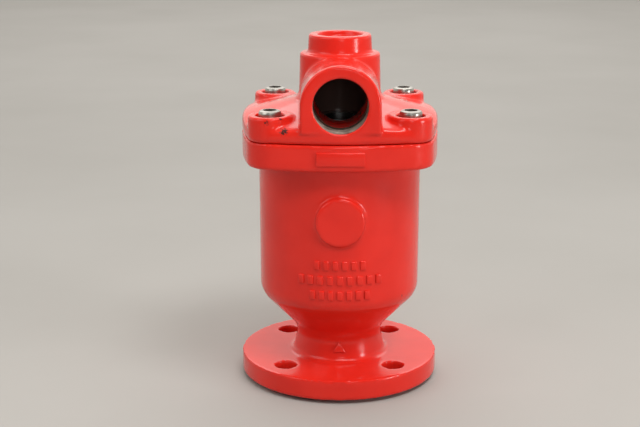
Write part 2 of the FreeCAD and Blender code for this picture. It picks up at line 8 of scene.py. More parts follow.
import bpy
import json
import math
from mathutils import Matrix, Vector

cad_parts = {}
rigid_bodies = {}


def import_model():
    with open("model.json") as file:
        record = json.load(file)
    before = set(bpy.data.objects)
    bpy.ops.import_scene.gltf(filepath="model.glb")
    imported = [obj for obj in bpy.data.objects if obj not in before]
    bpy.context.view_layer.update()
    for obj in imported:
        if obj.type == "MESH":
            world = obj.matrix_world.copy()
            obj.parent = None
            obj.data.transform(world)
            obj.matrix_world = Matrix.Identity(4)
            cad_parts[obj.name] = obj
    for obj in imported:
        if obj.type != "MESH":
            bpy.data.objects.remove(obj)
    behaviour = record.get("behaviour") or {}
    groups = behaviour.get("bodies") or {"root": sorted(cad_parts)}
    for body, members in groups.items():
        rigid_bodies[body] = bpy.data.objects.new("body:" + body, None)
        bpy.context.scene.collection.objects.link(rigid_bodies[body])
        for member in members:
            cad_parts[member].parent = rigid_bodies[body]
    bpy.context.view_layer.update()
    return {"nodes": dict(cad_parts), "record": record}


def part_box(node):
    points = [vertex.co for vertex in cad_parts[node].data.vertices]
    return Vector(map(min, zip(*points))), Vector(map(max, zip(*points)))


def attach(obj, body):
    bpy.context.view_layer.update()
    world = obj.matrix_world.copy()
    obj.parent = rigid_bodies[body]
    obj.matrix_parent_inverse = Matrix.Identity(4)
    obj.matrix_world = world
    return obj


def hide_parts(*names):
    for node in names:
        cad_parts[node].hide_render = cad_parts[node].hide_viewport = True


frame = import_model()
MM = 0.001

# %% [markdown]
# ## Places that the castings share
# Every height and radius comes from the frame where it can: the seam is the body's top, the
# screws stand where the CAD screws do, and the overall sizes are the CAD boxes.

# %% Sizes
_, body_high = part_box("body")
cover_low, cover_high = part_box("cover")
_, screws_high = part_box("cover_screws")
washers_low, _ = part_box("cover_washers")
SEAM = body_high.z
OUTLINE = cover_high.x
TOP = cover_high.z
FLANGE_RADIUS = body_high.x
SCREW_HEAD = 9 * MM
SCREW_PLACE = screws_high.x - SCREW_HEAD
SCREW_SPOTS = [(x * SCREW_PLACE, y * SCREW_PLACE) for x in (-1, 1) for y in (-1, 1)]
PORT_RISE = 30.6 * MM
PORT_AXIS = SEAM + PORT_RISE
seam_mm = SEAM / MM
top_mm = TOP / MM
print("seam", round(SEAM / MM, 2), "outline", round(OUTLINE / MM, 2), "screws at", round(SCREW_PLACE / MM, 2))

# %% [markdown]
# ## Selecting in code
# An operator acts on all that is selected, so each step first clears the selection. These
# helpers take one object, settle its place into its mesh, and select edges by where they are.
# Points count as level, or as on one ring, within the few millionths of a metre given here.

# %% Helpers for selection
SAME_HEIGHT = 1e-6
SAME_RADIUS = 1e-5


def take(thing):
    """Select this object alone and make it the active one."""
    bpy.ops.object.select_all(action="DESELECT")
    thing.select_set(True)
    bpy.context.view_layer.objects.active = thing
    return thing


def named(name):
    """Name the object just added and move its place and turn into its mesh."""
    thing = take(bpy.context.object)
    thing.name = name
    thing.data.name = name
    bpy.ops.object.transform_apply(location=True, rotation=True, scale=True)
    return thing


def edit(thing):
    """Clear the selection inside an object's mesh, so that its edges can be picked in code."""
    take(thing)
    bpy.ops.object.mode_set(mode="EDIT")
    bpy.ops.mesh.select_mode(type="EDGE")
    bpy.ops.mesh.select_all(action="DESELECT")
    bpy.ops.object.mode_set(mode="OBJECT")


def soften(thing, wanted, width, segments=4):
    """Bevel the edges whose two ends satisfy wanted(point)."""
    edit(thing)
    corners = thing.data.vertices
    for edge in thing.data.edges:
        edge.select = all(wanted(corners[index].co) for index in edge.vertices)
    bpy.ops.object.mode_set(mode="EDIT")
    bpy.ops.mesh.bevel(offset_type="OFFSET", offset=width, segments=segments, affect="EDGES")
    bpy.ops.object.mode_set(mode="OBJECT")


def ring(radius, height, centre=(0, 0)):
    """A test for points on one ring about an upright axis."""
    middle = Vector(centre)
    return lambda p: abs(p.z - height) < SAME_HEIGHT and abs((p.xy - middle).length - radius) < SAME_RADIUS


bpy.ops.object.select_all(action="DESELECT")
print("nothing is selected:", not bpy.context.selected_objects)

# %% [markdown]
# ## Modifiers as tools
# A boolean, a remesh or a smooth is set up as a modifier and applied at once, so each stage
# leaves plain geometry for the next one.


# %% Helpers for shaping
def change(thing, kind, **settings):
    """Add a modifier, set it, and apply it."""
    take(thing)
    step = thing.modifiers.new(kind.title(), kind)
    for setting, value in settings.items():
        setattr(step, setting, value)
    bpy.ops.object.modifier_apply(modifier=step.name)
    return thing


def combine(thing, other, how):
    """Boolean of two closed shapes; the second is used up."""
    change(thing, "BOOLEAN", operation=how, solver="EXACT", object=other)
    bpy.data.objects.remove(other)
    return thing


def cylinder(name, radius, low, high, x=0.0, y=0.0, sides=96):
    """An upright cylinder between two heights."""
    bpy.ops.mesh.primitive_cylinder_add(
        vertices=sides, radius=radius, depth=high - low, location=(x, y, (low + high) / 2))
    return named(name)


def turned(name, outline, sides=128):
    """Extrude a disc up through the (radius, height) rings of an outline, in millimetres."""
    radius, height = outline[0]
    bpy.ops.mesh.primitive_circle_add(
        vertices=sides, radius=radius * MM, fill_type="NGON", location=(0, 0, height * MM))
    thing = named(name)
    take(thing)
    bpy.ops.object.mode_set(mode="EDIT")
    bpy.ops.mesh.select_mode(type="FACE")
    bpy.ops.mesh.select_all(action="SELECT")
    for new_radius, new_height in outline[1:]:
        bpy.ops.mesh.extrude_region_move(
            TRANSFORM_OT_translate={"value": (0, 0, (new_height - height) * MM)})
        share = new_radius / radius
        bpy.ops.transform.resize(value=(share, share, 1), center_override=(0, 0, new_height * MM))
        radius, height = new_radius, new_height
    bpy.ops.mesh.select_all(action="SELECT")
    bpy.ops.mesh.normals_make_consistent(inside=False)
    bpy.ops.object.mode_set(mode="OBJECT")
    return thing


def lay_forward(thing, height, start=0.0):
    """Lay an upright shape down so that its top points out of the outlet, and lift its axis."""
    take(thing)
    thing.rotation_euler = (math.radians(90), 0, 0)
    thing.location = (0, -start, height)
    bpy.ops.object.transform_apply(location=True, rotation=True, scale=False)
    return thing


def cut_below(thing, height):
    """Take away all that lies below this height and close the cut."""
    edit(thing)
    bpy.ops.object.mode_set(mode="EDIT")
    bpy.ops.mesh.select_all(action="SELECT")
    bpy.ops.mesh.bisect(plane_co=(0, 0, height), plane_no=(0, 0, 1), use_fill=True, clear_inner=True)
    bpy.ops.object.mode_set(mode="OBJECT")


print("shaping:", [helper.__name__ for helper in (change, combine, cylinder, turned, lay_forward, cut_below)])


# %% [markdown]
# ## The shared outline
# Seen from above, the two castings are one square with bowed sides and round corners. A
# disc with many corners is enough: each corner slides along its own ray until it lies on
# the side's arc or on the corner's arc, and the disc is then extruded upwards.

# %% Outline
BOW = 240 * MM
CORNER = 25.4 * MM
BOW_CENTRE = BOW - OUTLINE
CORNER_CENTRE = (math.sqrt(2 * (BOW - CORNER) ** 2 - BOW_CENTRE ** 2) - BOW_CENTRE) / 2
CORNER_START = math.atan2(CORNER_CENTRE, CORNER_CENTRE + BOW_CENTRE)
TANGENT = math.atan2(BOW * math.sin(CORNER_START), BOW * math.cos(CORNER_START) - BOW_CENTRE)
print("corner arcs are centred", round(CORNER_CENTRE / MM, 2), "mm out and start at",
      round(math.degrees(TANGENT), 1), "degrees")


def outline_reach(angle):
    """Distance from the axis to the outline in this direction."""
    quarter = math.pi / 2
    folded = abs((angle + quarter / 2) % quarter - quarter / 2)
    if folded < TANGENT:
        return math.sqrt(BOW ** 2 - (BOW_CENTRE * math.sin(folded)) ** 2) - BOW_CENTRE * math.cos(folded)
    off = quarter / 2 - folded
    far = CORNER_CENTRE * math.sqrt(2)
    return far * math.cos(off) + math.sqrt(CORNER ** 2 - (far * math.sin(off)) ** 2)


def outline_prism(name, low, high):
    """Extrude the outline from one height to the other."""
    bpy.ops.mesh.primitive_circle_add(vertices=360, radius=OUTLINE, fill_type="NGON", location=(0, 0, low))
    prism = named(name)
    for corner in prism.data.vertices:
        angle = math.atan2(corner.co.y, corner.co.x)
        corner.co.xy = Vector((math.cos(angle), math.sin(angle))) * outline_reach(angle)
    bpy.ops.object.mode_set(mode="EDIT")
    bpy.ops.mesh.select_all(action="SELECT")
    bpy.ops.mesh.extrude_region_move(TRANSFORM_OT_translate={"value": (0, 0, high - low)})
    bpy.ops.mesh.select_all(action="SELECT")
    bpy.ops.mesh.normals_make_consistent(inside=False)
    bpy.ops.object.mode_set(mode="OBJECT")
    return prism


# %% [markdown]
# ## The body casting
# A cast part has no sharp edge: the sand and the thick paint round them all. So the outside
# is first put together from plain turned and extruded shapes, then a voxel remesh melts them
# into one skin, and a smooth rounds every edge and fills every inner corner a little, as the
# foundry does. The flange's holes are a little small, because the smooth rounds their rims
# and so makes them look wider. What a machine cuts afterwards is taken out last and keeps
# its crisp edge.

# %% Body sizes in millimetres
flange_mm = FLANGE_RADIUS / MM
FLANGE_THICK = 20
FACE_RADIUS = 49.5
FACE_RISE = 3
NECK_FOOT = 39
NECK_RADIUS = 34.2
NECK_HEIGHT = 41.7
CHAMBER_RADIUS = 66.5
CHAMBER_HEIGHT = 74.6
CHAMBER_DRAFT = 0.3
FLARE_RADIUS = 67.4
BODY_FLANGE = 21.3
print("the cone opens at", round(math.degrees(math.atan2(
    CHAMBER_RADIUS - NECK_RADIUS, CHAMBER_HEIGHT - NECK_HEIGHT)), 1), "degrees")

# %% Body, turned outside
body = turned("body_casting", [
    (FACE_RADIUS, 0), (FACE_RADIUS, FACE_RISE), (flange_mm, FACE_RISE), (flange_mm, FLANGE_THICK),
    (NECK_FOOT, FLANGE_THICK), (NECK_RADIUS, NECK_HEIGHT), (CHAMBER_RADIUS, CHAMBER_HEIGHT),
    (CHAMBER_RADIUS + CHAMBER_DRAFT, seam_mm - 31), (FLARE_RADIUS, seam_mm - BODY_FLANGE),
    (FLARE_RADIUS, seam_mm - 8)])
soften(body, ring(NECK_RADIUS * MM, NECK_HEIGHT * MM), width=7.4 * MM, segments=10)
soften(body, ring(CHAMBER_RADIUS * MM, CHAMBER_HEIGHT * MM), width=6.4 * MM, segments=8)
soften(body, ring(NECK_FOOT * MM, FLANGE_THICK * MM), width=3.2 * MM, segments=6)
print("body, turned:", len(body.data.polygons), "faces")

# %% Body, top flange and pad
PAD_RADIUS = 19.8 * MM
PAD_REACH = 70.1 * MM
PAD_HEIGHT = 148 * MM
body_flange = outline_prism("body_flange", SEAM - BODY_FLANGE * MM, SEAM)
soften(body_flange, lambda p: p.z < SEAM - BODY_FLANGE * MM / 2, width=2.5 * MM)
combine(body, body_flange, "UNION")
pad = cylinder("body_pad", PAD_RADIUS, 0, PAD_REACH)
soften(pad, lambda p: p.z > PAD_REACH / 2, width=1 * MM)
lay_forward(pad, PAD_HEIGHT)
combine(body, pad, "UNION")
print("body with its flange and pad:", len(body.data.polygons), "faces")

# %% Body, flange holes
HOLE_CIRCLE = 62.5 * MM
HOLE_RADIUS = 8.9 * MM
for quarter in range(4):
    angle = math.radians(45 + 90 * quarter)
    hole = cylinder("flange_hole", HOLE_RADIUS, -1 * MM, (FLANGE_THICK + 1) * MM,
                    HOLE_CIRCLE * math.cos(angle), HOLE_CIRCLE * math.sin(angle))
    combine(body, hole, "DIFFERENCE")
print("body outside:", len(body.data.polygons), "faces before the remesh")

# %% Body, cast skin
BODY_VOXEL = 1.42 * MM
change(body, "REMESH", mode="VOXEL", voxel_size=BODY_VOXEL)
change(body, "SMOOTH", factor=0.5, iterations=4)
print("body skin:", len(body.data.polygons), "faces")

# %% [markdown]
# ## Relief on the body
# A foundry casts raised marks into such a body. Plain raised bars take their place: one on
# the flange's front and three rows round the chamber, with a small triangle on the neck that
# points the way the air goes. Each bar is a cube with rounded edges, turned to face out from
# the axis. They join the body after its skin is made, so that they stay sharp enough to see.


# %% Bars in relief
BAR_DEPTH = 5


def raised_bar(along, height, width, tall, radius):
    """A bar on the front whose face is at this radius, its middle this far round from the front."""
    turn = along / radius
    middle = (radius - BAR_DEPTH / 2) * MM
    bpy.ops.mesh.primitive_cube_add(
        size=1, scale=(width * MM, BAR_DEPTH * MM, tall * MM), rotation=(0, 0, turn),
        location=(middle * math.sin(turn), -middle * math.cos(turn), height * MM))
    bar = named("raised_bar")
    return change(bar, "BEVEL", width=0.75 * MM, segments=3)


# Each row has its height, the count of its bars and their pitch.
ROWS = ((112, 6, 7.6), (99.5, 9, 8.2), (87, 7, 7.6))
ROW_TALL = 7.4
ROW_FACE = 68.1
bars = [raised_bar(0, height=201.6, width=38, tall=11, radius=81.1)]
for height, count, pitch in ROWS:
    for number in range(count):
        along = (number - (count - 1) / 2) * pitch
        bars.append(raised_bar(along, height, pitch * 0.6, ROW_TALL, ROW_FACE))
print("relief:", len(bars), "bars")

# %% Triangle on the neck
NECK_SLOPE = 12.5
MARK_RADIUS = 6 * MM
MARK_REACH = 35.7 * MM
MARK_HEIGHT = 31 * MM
bpy.ops.mesh.primitive_cylinder_add(
    vertices=3, radius=MARK_RADIUS, depth=BAR_DEPTH * MM, location=(0, -MARK_REACH, MARK_HEIGHT),
    rotation=(math.radians(90 - NECK_SLOPE), 0, 0))
bars.append(change(named("flow_triangle"), "BEVEL", width=0.6 * MM, segments=3))
marks = take(bars[0])
for bar in bars:
    bar.select_set(True)
bpy.ops.object.join()
combine(body, marks, "UNION")
print("relief:", len(bars), "raised marks in all")

# %% [markdown]
# ## The body's hollow
# Inside, the body is a straight bore with a cone down to the inlet, a groove for the
# cover's seal and four tapped holes. They are cut with clean turned shapes. Three lugs in
# the cone carry the baffle plate, and the inlet is bored once more to trim them.

# %% Body, hollow
BORE_RADIUS = 25
CHAMBER_BORE = 58.5
hollow = turned("body_hollow", [
    (BORE_RADIUS, -1), (BORE_RADIUS, 45), (CHAMBER_BORE, 77.9), (CHAMBER_BORE, seam_mm + 1)], 96)
combine(body, hollow, "DIFFERENCE")
print("body with its hollow:", len(body.data.polygons), "faces")

# %% Body, seal groove and tapped holes
GROOVE_OUTSIDE = 65.8 * MM
GROOVE_INSIDE = 61 * MM
GROOVE_DEPTH = 3.2 * MM
TAPPED_RADIUS = 6.05 * MM
TAPPED_DEPTH = 22.3 * MM
groove = cylinder("groove", GROOVE_OUTSIDE, SEAM - GROOVE_DEPTH, SEAM + 1 * MM)
combine(groove, cylinder("groove_core", GROOVE_INSIDE, SEAM - 4 * MM, SEAM + 2 * MM), "DIFFERENCE")
combine(body, groove, "DIFFERENCE")
for spot in SCREW_SPOTS:
    hole = cylinder("tapped_hole", TAPPED_RADIUS, SEAM - TAPPED_DEPTH, SEAM + 1 * MM, *spot, 48)
    combine(body, hole, "DIFFERENCE")
print("body with its holes:", len(body.data.polygons), "faces")

# %% Body, lugs for the baffle
LUG_CIRCLE = 29.7 * MM
LUG_RADIUS = 4.5 * MM
LUG_LOW = 42 * MM
LUG_TOP = 62 * MM
for angle in (90, 210, 330):
    place = [LUG_CIRCLE * turn(math.radians(angle)) for turn in (math.cos, math.sin)]
    combine(body, cylinder("baffle_lug", LUG_RADIUS, LUG_LOW, LUG_TOP, *place, 48), "UNION")
combine(body, cylinder("inlet_bore", BORE_RADIUS * MM, 30 * MM, LUG_TOP + 1 * MM), "DIFFERENCE")
take(body)
bpy.ops.object.shade_smooth_by_angle(angle=math.radians(40))
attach(body, "housing")
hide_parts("body")
print("body:", len(body.data.polygons), "faces")

# %% [markdown]
# ## The cover casting
# The cover is a low crown that falls away from the tower, with a boss round each screw, and
# the outlet's port runs forward from the tower. The crown is cut out of a wide cone by the
# shared outline, so it has the body's shape where they meet.

# %% Cover, crown
CROWN_RISE = 25.7
CROWN_FLAT = 33
CROWN_WIDE = 110
SLOPE = math.tan(math.radians(14.5))
COARSE_VOXEL = 1.5 * MM
crown = turned("cover_casting", [
    (CROWN_WIDE, seam_mm - 1), (CROWN_WIDE, seam_mm + CROWN_RISE - (CROWN_WIDE - CROWN_FLAT) * SLOPE),
    (CROWN_FLAT, seam_mm + CROWN_RISE)])
combine(crown, outline_prism("crown_outline", SEAM, SEAM + CROWN_RISE * MM), "INTERSECT")
change(crown, "REMESH", mode="VOXEL", voxel_size=COARSE_VOXEL)
change(crown, "SMOOTH", factor=0.5, iterations=12)
print("crown:", len(crown.data.polygons), "faces")

# %% Cover, bosses
BOSS_RADIUS = 17.5 * MM
BOSS_RISE = 20.2 * MM
for spot in SCREW_SPOTS:
    combine(crown, cylinder("boss", BOSS_RADIUS, SEAM, SEAM + BOSS_RISE, *spot), "UNION")
change(crown, "REMESH", mode="VOXEL", voxel_size=COARSE_VOXEL)
change(crown, "SMOOTH", factor=0.5, iterations=6)
print("crown with its bosses:", len(crown.data.polygons), "faces")

# %% Cover, tower
TOWER_FOOT = 37
TOWER_RADIUS = 33.2
TOWER_TAPER = 0.6
TOWER_SHOULDER = seam_mm + 61.9
STUB_RADIUS = 26.2
STUB_TAPER = 0.7
DISH_RADIUS = 18.2
DISH_TAPER = 0.8
DISH_DEPTH = 5
tower = turned("tower", [
    (TOWER_FOOT, seam_mm + 1), (TOWER_FOOT, seam_mm + 24.5), (34.5, seam_mm + 27.5), (33.4, seam_mm + 31),
    (TOWER_RADIUS, seam_mm + 40), (TOWER_RADIUS - TOWER_TAPER, TOWER_SHOULDER),
    (STUB_RADIUS, TOWER_SHOULDER), (STUB_RADIUS - STUB_TAPER, top_mm), (DISH_RADIUS, top_mm),
    (DISH_RADIUS - DISH_TAPER, top_mm - DISH_DEPTH)])
combine(crown, tower, "UNION")
print("cover with its tower:", len(crown.data.polygons), "faces")

# %% Cover, port
PORT_FACE = OUTLINE
PORT_RADIUS = 31.5 * MM
PORT_WIDTH = 62.9 * MM
PORT_EDGE = 1.8 * MM
FACE_SLACK = 1 * MM
foot_low = SEAM + 9 * MM
port = cylinder("port", PORT_RADIUS, 0, PORT_FACE)
soften(port, lambda p: p.z > PORT_FACE - FACE_SLACK, PORT_EDGE)
lay_forward(port, PORT_AXIS)
cut_below(port, PORT_AXIS - 4 * MM)
combine(crown, port, "UNION")
bpy.ops.mesh.primitive_cube_add(size=1, location=(0, -PORT_FACE / 2, (foot_low + PORT_AXIS) / 2),
                                scale=(PORT_WIDTH, PORT_FACE, PORT_AXIS - foot_low))
foot = named("port_foot")
for side in (-1, 1):
    soften(foot, lambda p: p.y < FACE_SLACK - PORT_FACE and p.x * side > 0, PORT_EDGE)
combine(crown, foot, "UNION")
print("cover with its port:", len(crown.data.polygons), "faces")

# %% Cover, counterbores and mouth
COUNTERBORE = 11.3 * MM
MOUTH_RADIUS = 21.5 * MM
for spot in SCREW_SPOTS:
    combine(crown, cylinder("counterbore", COUNTERBORE, washers_low.z, TOP, *spot), "DIFFERENCE")
mouth = cylinder("port_mouth", MOUTH_RADIUS, 40 * MM, PORT_FACE + 1 * MM)
lay_forward(mouth, PORT_AXIS)
combine(crown, mouth, "DIFFERENCE")
print("cover outside:", len(crown.data.polygons), "faces before the remesh")

# %% Cover, cast skin
COVER_VOXEL = 0.95 * MM
change(crown, "REMESH", mode="VOXEL", voxel_size=COVER_VOXEL)
change(crown, "SMOOTH", factor=0.5, iterations=14)
print("cover skin:", len(crown.data.polygons), "faces")

# %% [markdown]
# ## The cover's hollow
# The tower is hollow, the port opens into it, and a short spigot under the cover fits the
# body's bore. The underside is machined, so it is cut flat. The cut lies a little above the
# seam, which leaves the joint's fine dark line.

# %% Cover, underside
JOINT_GAP = 0.4 * MM
SPIGOT_RADIUS = 58.2 * MM
cut_below(crown, SEAM + JOINT_GAP)
spigot = cylinder("spigot", SPIGOT_RADIUS, cover_low.z, SEAM + 2 * MM)
combine(crown, spigot, "UNION")
print("cover with its spigot:", len(crown.data.polygons), "faces")

# %% Cover, hollow
CAVITY_RADIUS = 24
CAVITY_TOP_RADIUS = 18
SEAT_RADIUS = 20 * MM
SCREW_HOLE = 6.75 * MM
cavity = turned("cover_cavity", [
    (CAVITY_RADIUS, seam_mm + 8.7), (CAVITY_RADIUS, seam_mm + 52.7),
    (CAVITY_TOP_RADIUS, seam_mm + 61.7), (CAVITY_TOP_RADIUS, seam_mm + 63.7)], 96)
combine(crown, cavity, "DIFFERENCE")
combine(crown, cylinder("seat_hole", SEAT_RADIUS, cover_low.z - MM, SEAM + 9 * MM), "DIFFERENCE")
for name, radius, start, end in (("port_bore", 21, 0, 55), ("thread_room", 23.9, 54, 78.4)):
    room = cylinder(name, radius * MM, start * MM, end * MM)
    lay_forward(room, PORT_AXIS)
    combine(crown, room, "DIFFERENCE")
for spot in SCREW_SPOTS:
    combine(crown, cylinder("screw_hole", SCREW_HOLE, SEAM - MM, SEAM + 15 * MM, *spot, 48), "DIFFERENCE")
take(crown)
bpy.ops.object.shade_smooth_by_angle(angle=math.radians(40))
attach(crown, "housing")
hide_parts("cover")
print("cover:", len(crown.data.polygons), "faces")

# %% [markdown]
# ## Cover screws
# A hexagon socket head cap screw is a turned head with a well rounded rim, a socket, and a
# plain shank that hides in the casting. The blank is turned once and copied to each boss.
# Each copy then gets its own socket, turned one way on the left and another way on the
# right, as tightening by hand leaves them.

# %% Screw blank
SHANK = 6
SHANK_LENGTH = 30
HEAD_HEIGHT = 12
RIM_DROP = 2.2
head_mm = screws_high.z / MM
low_mm = head_mm - HEAD_HEIGHT
HEAD_EDGE = SCREW_HEAD / MM
blank = turned("screw_blank", [
    (SHANK - 0.9, low_mm - SHANK_LENGTH), (SHANK, low_mm - SHANK_LENGTH + 1), (SHANK, low_mm),
    (HEAD_EDGE, low_mm), (HEAD_EDGE, head_mm - RIM_DROP), (8.35, head_mm - 0.7), (6.9, head_mm),
    (6.2, head_mm)], 64)
print("screw blank:", len(blank.data.polygons), "faces")

# %% Screws
SOCKET_RADIUS = 5.77 * MM
SOCKET_DEPTH = 6 * MM


def make_screw(name, x, y):
    """Copy the blank to one boss and cut its socket."""
    take(blank)
    bpy.ops.object.duplicate()
    screw = named(name)
    bpy.ops.mesh.primitive_cylinder_add(
        vertices=6, radius=SOCKET_RADIUS, depth=2 * SOCKET_DEPTH, location=(0, 0, screws_high.z),
        rotation=(0, 0, math.radians(30 + 17 * x)))
    combine(screw, named("socket"), "DIFFERENCE")
    spot = (x * SCREW_PLACE, y * SCREW_PLACE)
    screw.location = (*spot, 0)
    take(screw)
    bpy.ops.object.transform_apply(location=True)
    soften(screw, ring(SCREW_HEAD, screws_high.z - RIM_DROP * MM, spot), 0.6 * MM, 3)
    bpy.ops.object.shade_smooth_by_angle(angle=math.radians(35))
    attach(screw, "housing")
    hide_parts("cover_screws")
    return screw


screws = [make_screw(f"cover_screw_{number + 1}", x, y)
          for number, (x, y) in enumerate(((1, 1), (-1, 1), (-1, -1), (1, -1)))]
bpy.data.objects.remove(blank)
print(len(screws), "screws of", len(screws[0].data.polygons), "faces")

# %% [markdown]
# ## The outlet's thread
# A pipe thread of eleven turns to the inch is cut in the port. The turns are one ridge with
# a V section, wound by a Screw modifier, and its two ends are closed.

# %% Thread section
PITCH = 25.4 / 11 * MM
TURNS = 10
STEPS_PER_TURN = 72
THREAD_START = 54.7 * MM
ROOT_RADIUS = 24.1
CREST_RADIUS = 22.45
ridge = ((ROOT_RADIUS, -0.48), (CREST_RADIUS, -0.06), (CREST_RADIUS, 0.06), (ROOT_RADIUS, 0.48))
bpy.ops.mesh.primitive_plane_add(size=1 * MM, location=(0, 0, 0))
thread = named("outlet_thread")
for index, (radius, share) in zip(thread.data.polygons[0].vertices, ridge):
    thread.data.vertices[index].co = (radius * MM, 0, share * PITCH)
print("thread pitch:", round(PITCH / MM, 3), "mm")

# %% Thread turns
edit(thread)
bpy.ops.object.mode_set(mode="EDIT")
bpy.ops.mesh.select_all(action="SELECT")
bpy.ops.mesh.delete(type="ONLY_FACE")
bpy.ops.object.mode_set(mode="OBJECT")
change(thread, "SCREW", angle=2 * math.pi * TURNS, screw_offset=PITCH * TURNS, axis="Z",
       steps=STEPS_PER_TURN * TURNS, render_steps=STEPS_PER_TURN * TURNS)
bpy.ops.object.mode_set(mode="EDIT")
bpy.ops.mesh.select_all(action="SELECT")
bpy.ops.mesh.fill_holes(sides=4)
bpy.ops.mesh.normals_make_consistent(inside=False)
bpy.ops.object.mode_set(mode="OBJECT")
lay_forward(thread, PORT_AXIS, THREAD_START)
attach(thread, "housing")
print("thread:", len(thread.data.polygons), "faces")

# %% [markdown]
# ## Finishes
# A finish is a small tree of nodes. Object coordinates are metres here, so a noise of scale
# 900 has grains of about a millimetre. Each helper below adds one or two nodes and returns
# the socket that the next one needs.


# %% Material helpers
def finish_for(name, color, roughness, metallic=0.0):
    """A new material with its shader's plain sockets set, and its object coordinates."""
    material = bpy.data.materials.new(name)
    material.use_nodes = True
    nodes = material.node_tree.nodes
    shader = nodes["Principled BSDF"]
    shader.inputs["Base Color"].default_value = (*color, 1)
    shader.inputs["Roughness"].default_value = roughness
    shader.inputs["Metallic"].default_value = metallic
    return material, shader, nodes.new("ShaderNodeTexCoord").outputs["Object"]


def add(material, kind, links=None, **values):
    """Add a node, set its properties and link its inputs by name or number."""
    node = material.node_tree.nodes.new(kind)
    for name, value in values.items():
        setattr(node, name, value)
    for socket, source in (links or {}).items():
        if hasattr(source, "is_linked"):
            material.node_tree.links.new(source, node.inputs[socket])
        else:
            node.inputs[socket].default_value = source
    return node


def noise(material, where, scale, detail=3.0, roughness=0.5):
    """Grey noise; a larger scale has finer grains."""
    return add(material, "ShaderNodeTexNoise", {
        "Vector": where, "Scale": scale, "Detail": detail, "Roughness": roughness}).outputs["Fac"]


def ramp(material, value, low, high):
    """Stretch a value so that low becomes 0 and high becomes 1."""
    return add(material, "ShaderNodeMapRange", {
        "Value": value, "From Min": low, "From Max": high}, clamp=True).outputs["Result"]


def blend(material, share, first, second):
    """Mix two colours."""
    node = add(material, "ShaderNodeMix", data_type="RGBA")
    for socket, source in ((node.inputs[0], share), (node.inputs[6], first), (node.inputs[7], second)):
        if hasattr(source, "is_linked"):
            material.node_tree.links.new(source, socket)
        else:
            socket.default_value = source if isinstance(source, float) else (*source, 1)
    return node.outputs[2]


def math_node(material, operation, first, second=0.0):
    """One sum on two values."""
    return add(material, "ShaderNodeMath", {0: first, 1: second}, operation=operation).outputs[0]


def bump(material, shader, *layers):
    """Stack bumps: (height, millimetres of relief) pairs."""
    normal = None
    for height, relief in layers:
        node = add(material, "ShaderNodeBump", {"Height": height, "Distance": relief * MM, "Strength": 1.0})
        if normal:
            material.node_tree.links.new(normal, node.inputs["Normal"])
        normal = node.outputs["Normal"]
    material.node_tree.links.new(normal, shader.inputs["Normal"])


def wear(material, shader, **sockets):
    """Link patterns to the shader's sockets, named in lower case with underscores."""
    for name, source in sockets.items():
        material.node_tree.links.new(source, shader.inputs[name.replace("_", " ").title()])


print("material helpers:", [helper.__name__ for helper in (add, noise, ramp, blend, math_node, bump, wear)])

# %% [markdown]
# ## Red epoxy
# The coat is thick and glossy. It has a slow waviness over the cast skin, a fine orange
# peel, small changes of tone, a few specks where it was knocked, and bare metal in the
# outlet's thread, where the tap took it away. That bare metal is striped with painted shade
# across the port, for the shade between the thread's turns. The tower's cavity wall is dark brown.

# %% Paint colours and zones
RED = (0.73, 0.023, 0.013)
DEEP_RED = (0.66, 0.018, 0.010)
BARE = (0.62, 0.50, 0.42)
# Painted shade: the dark stripes between the thread's turns.
THREAD_TURN_SHADE = (0.09, 0.055, 0.04)
# Dark brown on the wall of the tower's cavity, darker than the red.
CAVITY_BROWN = (0.14, 0.085, 0.07)
CHIP = (0.055, 0.010, 0.007)
KNOCKS = (((-44, -76, 224), 9), ((-57, -74, 229), 6), ((-46, -70, 233), 5), ((50, -42, 80), 3.5),
          ((38, -38, 60), 2.5))
TAP_REACH = 24.3 * MM
TAP_START = -79.0 * MM
TAP_END = -53.8 * MM
CAVITY_REACH = 24.4 * MM
CAVITY_ROOF = TOP - 12 * MM
print(len(KNOCKS), "knocks in the paint, bare from y", round(TAP_START / MM, 1), "to", round(TAP_END / MM, 1))


# %% Helpers for zones
def ball(material, where, centre, radius):
    """1 at the centre of a ball, 0 at its surface."""
    away = add(material, "ShaderNodeVectorMath", {0: where, 1: [v * MM for v in centre]},
               operation="DISTANCE").outputs["Value"]
    return ramp(material, away, radius * MM, 0.0)


def all_of(material, first, *others):
    """1 only where every test is 1."""
    for test in others:
        first = math_node(material, "MULTIPLY", first, test)
    return first


def near_line(material, first, second, radius):
    """1 within this radius of a line, from the two distances across it."""
    squares = [math_node(material, "POWER", distance, 2.0) for distance in (first, second)]
    return math_node(material, "LESS_THAN", math_node(material, "ADD", *squares), radius ** 2)


def knocked(material, where):
    """1 on specks of grit inside the knocked places."""
    grit = noise(material, where, 620, 4, 0.7)
    knocks = 0.0
    for centre, radius in KNOCKS:
        spot = math_node(material, "MULTIPLY", ball(material, where, centre, radius), 0.64)
        knocks = math_node(material, "MAXIMUM", spot, knocks)
    return ramp(material, math_node(material, "ADD", knocks, grit), 0.91, 0.95)


def tapped(material, place):
    """1 in the outlet's thread, which the tap left bare."""
    up = math_node(material, "SUBTRACT", place[2], PORT_AXIS)
    return all_of(material, near_line(material, place[0], up, TAP_REACH),
                  math_node(material, "LESS_THAN", place[1], TAP_END),
                  math_node(material, "GREATER_THAN", place[1], TAP_START))


def inside_tower(material, place):
    """1 on the wall of the tower's cavity."""
    return all_of(material, near_line(material, place[0], place[1], CAVITY_REACH),
                  math_node(material, "GREATER_THAN", place[2], SEAM),
                  math_node(material, "LESS_THAN", place[2], CAVITY_ROOF))


print("zones:", [helper.__name__ for helper in (knocked, tapped, inside_tower)])


